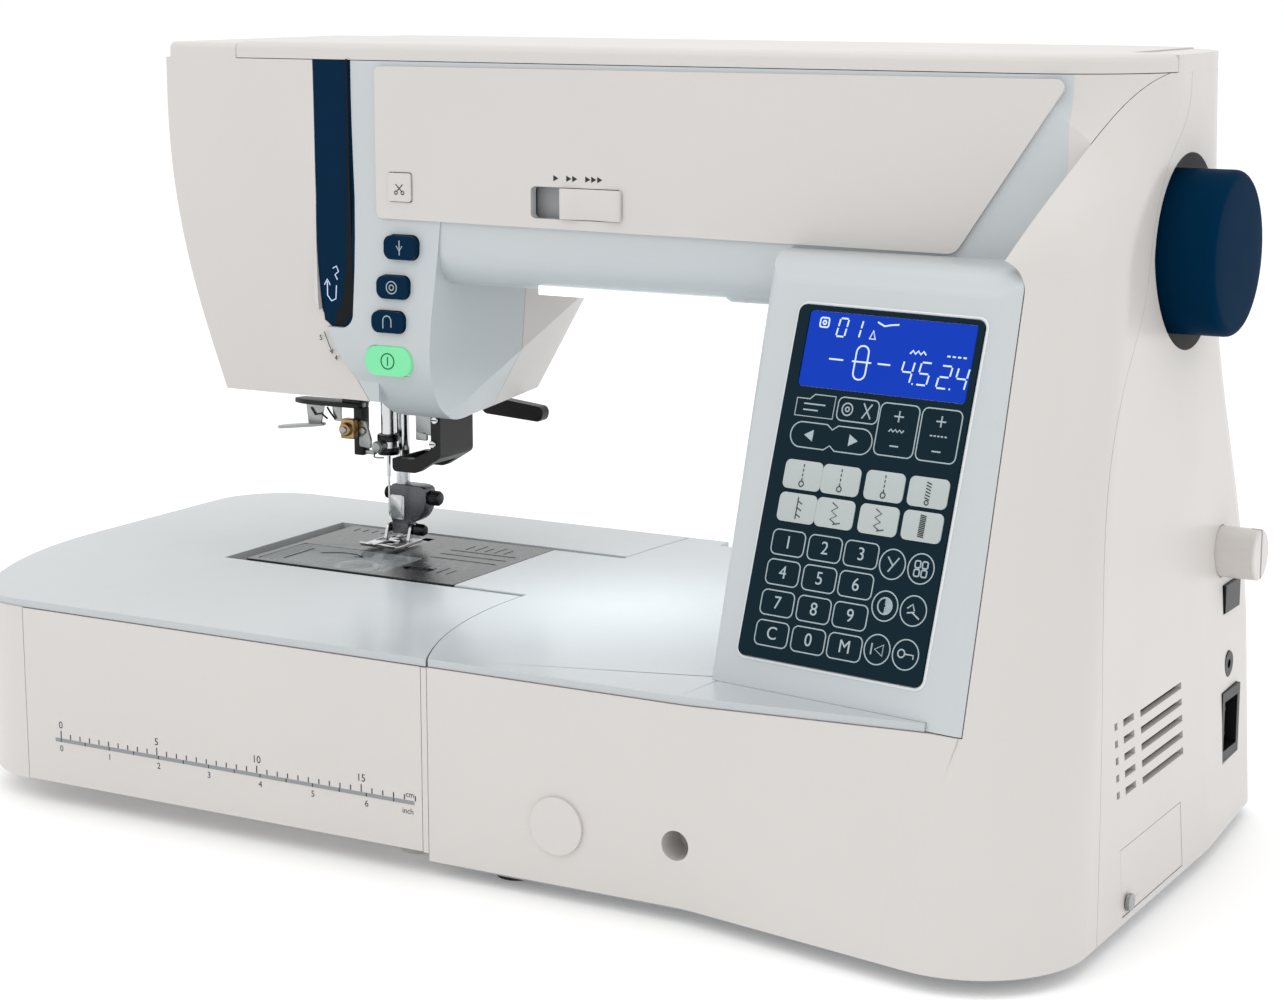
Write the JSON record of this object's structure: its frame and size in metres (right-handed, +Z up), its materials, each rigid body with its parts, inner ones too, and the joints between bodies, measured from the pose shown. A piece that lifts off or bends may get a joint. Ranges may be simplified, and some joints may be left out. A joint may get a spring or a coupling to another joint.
{
  "type": "sewing machine",
  "caption": "Computerised domestic sewing machine with an L-shaped arm, keypad and display on a leaning panel, hand wheel, clip-on foot, drop-in bobbin and a slide-on extension table.",
  "frame": {"origin": "on the surface the machine stands on, under the middle of the footprint", "axes": "+X along the bed towards the hand wheel, +Y from the operator to the back, +Z up"},
  "size_m": [0.524, 0.2627, 0.309],
  "materials": {
    "cream": "warm white moulded plastic, satin",
    "light_grey": "pale blue-grey moulded plastic, satin",
    "navy": "glossy dark blue",
    "display": "lit blue display behind a clear window",
    "button_blue": "dark translucent blue",
    "start_green": "green lit button",
    "dark_inside": "black moulded plastic",
    "black_socket": "black",
    "rubber": "black rubber",
    "steel": "polished steel",
    "chrome": "bright",
    "grey_metal": "ground steel",
    "cast": "die-cast aluminium",
    "bronze": "sintered bronze",
    "motor_steel": "black",
    "hook_black": "black",
    "clear": "clear plastic",
    "lens": "frosted clear",
    "board": "green circuit board",
    "screw": "zinc plated",
    "plastic_white": "white"
  },
  "bodies": {
    "machine": {"front_cover": "cream", "rear_cover": "cream", "face_cover": "cream", "arm_panel": "cream", "side_hatch": "cream", "front_cap": "cream", "top_caps": "cream", "free_arm_cover": "cream", "control_housing": "light_grey", "bed_top": "light_grey", "thread_strip": "navy", "keypad": "navy", "lcd_window": "display", "top_tray": "dark_inside", "base_plate": "dark_inside", "guard_bracket": "dark_inside", "rear_sockets": "black_socket", "drive_belts": "black_socket", "rubber_feet": "rubber", "needle_plate": "steel", "hinge_pins": "steel", "cast_frame": "cast", "shaft_bushes": "bronze", "motor": "motor_steel", "bobbin_case": "hook_black", "led_lens": "lens", "circuit_boards": "board", "housing_screws": "screw", "spool_pin": "plastic_white"},
    "table": {"table_body": "cream", "table_top": "light_grey"},
    "table_door": {"table_door": "cream"},
    "lid": {"lid": "light_grey"},
    "upper_drive": {"main_shaft": "grey_metal", "hand_wheel": "navy"},
    "connecting_link": {"connecting_link": "steel"},
    "lower_drive": {"lower_shaft": "grey_metal"},
    "hook": {"rotary_hook": "hook_black"},
    "bobbin": {"bobbin": "clear"},
    "motor_rotor": {"motor_pulley": "grey_metal"},
    "needle_bar": {"needle_bar": "chrome", "needle": "chrome"},
    "presser_bar": {"presser_bar": "chrome", "foot_holder": "grey_metal"},
    "presser_foot": {"presser_foot": "steel"},
    "presser_lifter": {"presser_lifter": "dark_inside"},
    "take_up_lever": {"take_up_lever": "steel"},
    "needle_threader": {"needle_threader": "dark_inside"},
    "feed_dogs": {"feed_dogs": "steel"},
    "bobbin_cover": {"bobbin_cover": "clear"},
    "plate_release": {"plate_release": "black_socket"},
    "winder_spindle": {"winder_spindle": "plastic_white"},
    "start_button": {"start_button": "start_green"},
    "reverse_button": {"reverse_button": "button_blue"},
    "lock_button": {"lock_button": "button_blue"},
    "needle_button": {"needle_button": "button_blue"},
    "cutter_button": {"cutter_button": "button_blue"},
    "speed_slider": {"speed_slider": "cream"},
    "balance_dial": {"balance_dial": "cream"},
    "power_rocker": {"power_rocker": "black_socket"}
  },
  "joints": [
    {"name": "table_slide", "type": "slide", "parent": "machine", "child": "table", "axis": [-1, 0, 0], "range_m": [0, 0.2]},
    {"name": "table_door_hinge", "type": "hinge", "parent": "table", "child": "table_door", "pos_m": [-0.099, -0.1102, 0.015], "axis": [1, 0, 0], "range_deg": [0, 90]},
    {"name": "lid_hinge", "type": "hinge", "parent": "machine", "child": "lid", "pos_m": [0.04, 0.104, 0.3035], "axis": [-1, 0, 0], "range_deg": [0, 95]},
    {"name": "hand_wheel_turn", "type": "hinge", "parent": "machine", "child": "upper_drive", "pos_m": [0.246, 0.036, 0.2365], "axis": [1, 0, 0], "continuous": true},
    {"name": "link_pivot", "type": "hinge", "parent": "upper_drive", "child": "connecting_link", "pos_m": [-0.1153, 0.036, 0.252], "axis": [1, 0, 0], "continuous": true},
    {"name": "lower_shaft_turn", "type": "hinge", "parent": "machine", "child": "lower_drive", "pos_m": [0, 0.021, 0.044], "axis": [1, 0, 0], "continuous": true},
    {"name": "hook_turn", "type": "hinge", "parent": "machine", "child": "hook", "pos_m": [-0.131, 0.021, 0.07], "axis": [0, 0, 1], "continuous": true},
    {"name": "bobbin_turn", "type": "hinge", "parent": "machine", "child": "bobbin", "pos_m": [-0.131, 0.021, 0.07], "axis": [0, 0, 1], "continuous": true},
    {"name": "motor_turn", "type": "hinge", "parent": "machine", "child": "motor_rotor", "pos_m": [0.2, 0.055, 0.112], "axis": [1, 0, 0], "continuous": true},
    {"name": "needle_bar_slide", "type": "slide", "parent": "machine", "child": "needle_bar", "axis": [0, 0, 1], "range_m": [-0.032, 0.001]},
    {"name": "presser_bar_slide", "type": "slide", "parent": "machine", "child": "presser_bar", "axis": [0, 0, 1], "range_m": [0, 0.008]},
    {"name": "foot_tilt", "type": "hinge", "parent": "presser_bar", "child": "presser_foot", "pos_m": [-0.125, 0.0555, 0.092], "axis": [-1, 0, 0], "range_deg": [0, 8]},
    {"name": "lifter_turn", "type": "hinge", "parent": "machine", "child": "presser_lifter", "pos_m": [-0.124, 0.108, 0.158], "axis": [0, -1, 0], "range_deg": [0, 70.2]},
    {"name": "take_up_turn", "type": "hinge", "parent": "machine", "child": "take_up_lever", "pos_m": [-0.1, 0.052, 0.268], "axis": [1, 0, 0], "range_deg": [0, 35]},
    {"name": "threader_slide", "type": "slide", "parent": "machine", "child": "needle_threader", "axis": [0, 0, -1], "range_m": [0, 0.025], "stiffness_N_per_m": 80, "springref_m": -0.01},
    {"name": "feed_slide", "type": "slide", "parent": "machine", "child": "feed_dogs", "axis": [0, 1, 0], "range_m": [-0.0025, 0.0025]},
    {"name": "bobbin_cover_lift", "type": "slide", "parent": "machine", "child": "bobbin_cover", "axis": [0, 0, 1], "range_m": [0, 0.02]},
    {"name": "release_slide", "type": "slide", "parent": "machine", "child": "plate_release", "axis": [1, 0, 0], "range_m": [0, 0.0025], "stiffness_N_per_m": 200, "springref_m": -0.002},
    {"name": "winder_turn", "type": "hinge", "parent": "machine", "child": "winder_spindle", "pos_m": [0.16, 0.02, 0.28], "axis": [0, 0, 1], "continuous": true},
    {"name": "start_press", "type": "slide", "parent": "machine", "child": "start_button", "axis": [0, 1, 0], "range_m": [0, 0.0015], "stiffness_N_per_m": 400, "springref_m": -0.001},
    {"name": "reverse_press", "type": "slide", "parent": "machine", "child": "reverse_button", "axis": [0, 1, 0], "range_m": [0, 0.0015], "stiffness_N_per_m": 400, "springref_m": -0.001},
    {"name": "lock_press", "type": "slide", "parent": "machine", "child": "lock_button", "axis": [0, 1, 0], "range_m": [0, 0.0015], "stiffness_N_per_m": 400, "springref_m": -0.001},
    {"name": "needle_press", "type": "slide", "parent": "machine", "child": "needle_button", "axis": [0, 1, 0], "range_m": [0, 0.0015], "stiffness_N_per_m": 400, "springref_m": -0.001},
    {"name": "cutter_press", "type": "slide", "parent": "machine", "child": "cutter_button", "axis": [0, 1, 0], "range_m": [0, 0.0015], "stiffness_N_per_m": 400, "springref_m": -0.001},
    {"name": "speed_slide", "type": "slide", "parent": "machine", "child": "speed_slider", "axis": [1, 0, 0], "range_m": [-0.0135, 0]},
    {"name": "balance_turn", "type": "hinge", "parent": "machine", "child": "balance_dial", "pos_m": [0.25, 0.075, 0.117], "axis": [1, 0, 0], "range_deg": [-90, 90]},
    {"name": "power_rock", "type": "hinge", "parent": "machine", "child": "power_rocker", "pos_m": [0.243, 0.085, 0.0975], "axis": [0, 0, 1], "range_deg": [0, 12]}
  ],
  "couplings": [
    {"joint": "link_pivot", "follows": "hand_wheel_turn", "ratio": -1},
    {"joint": "lower_shaft_turn", "follows": "hand_wheel_turn", "ratio": 1},
    {"joint": "hook_turn", "follows": "hand_wheel_turn", "ratio": -2},
    {"joint": "motor_turn", "follows": "hand_wheel_turn", "ratio": 2.5},
    {"joint": "lifter_turn", "follows": "presser_bar_slide", "rad_per_m": 152.72}
  ]
}
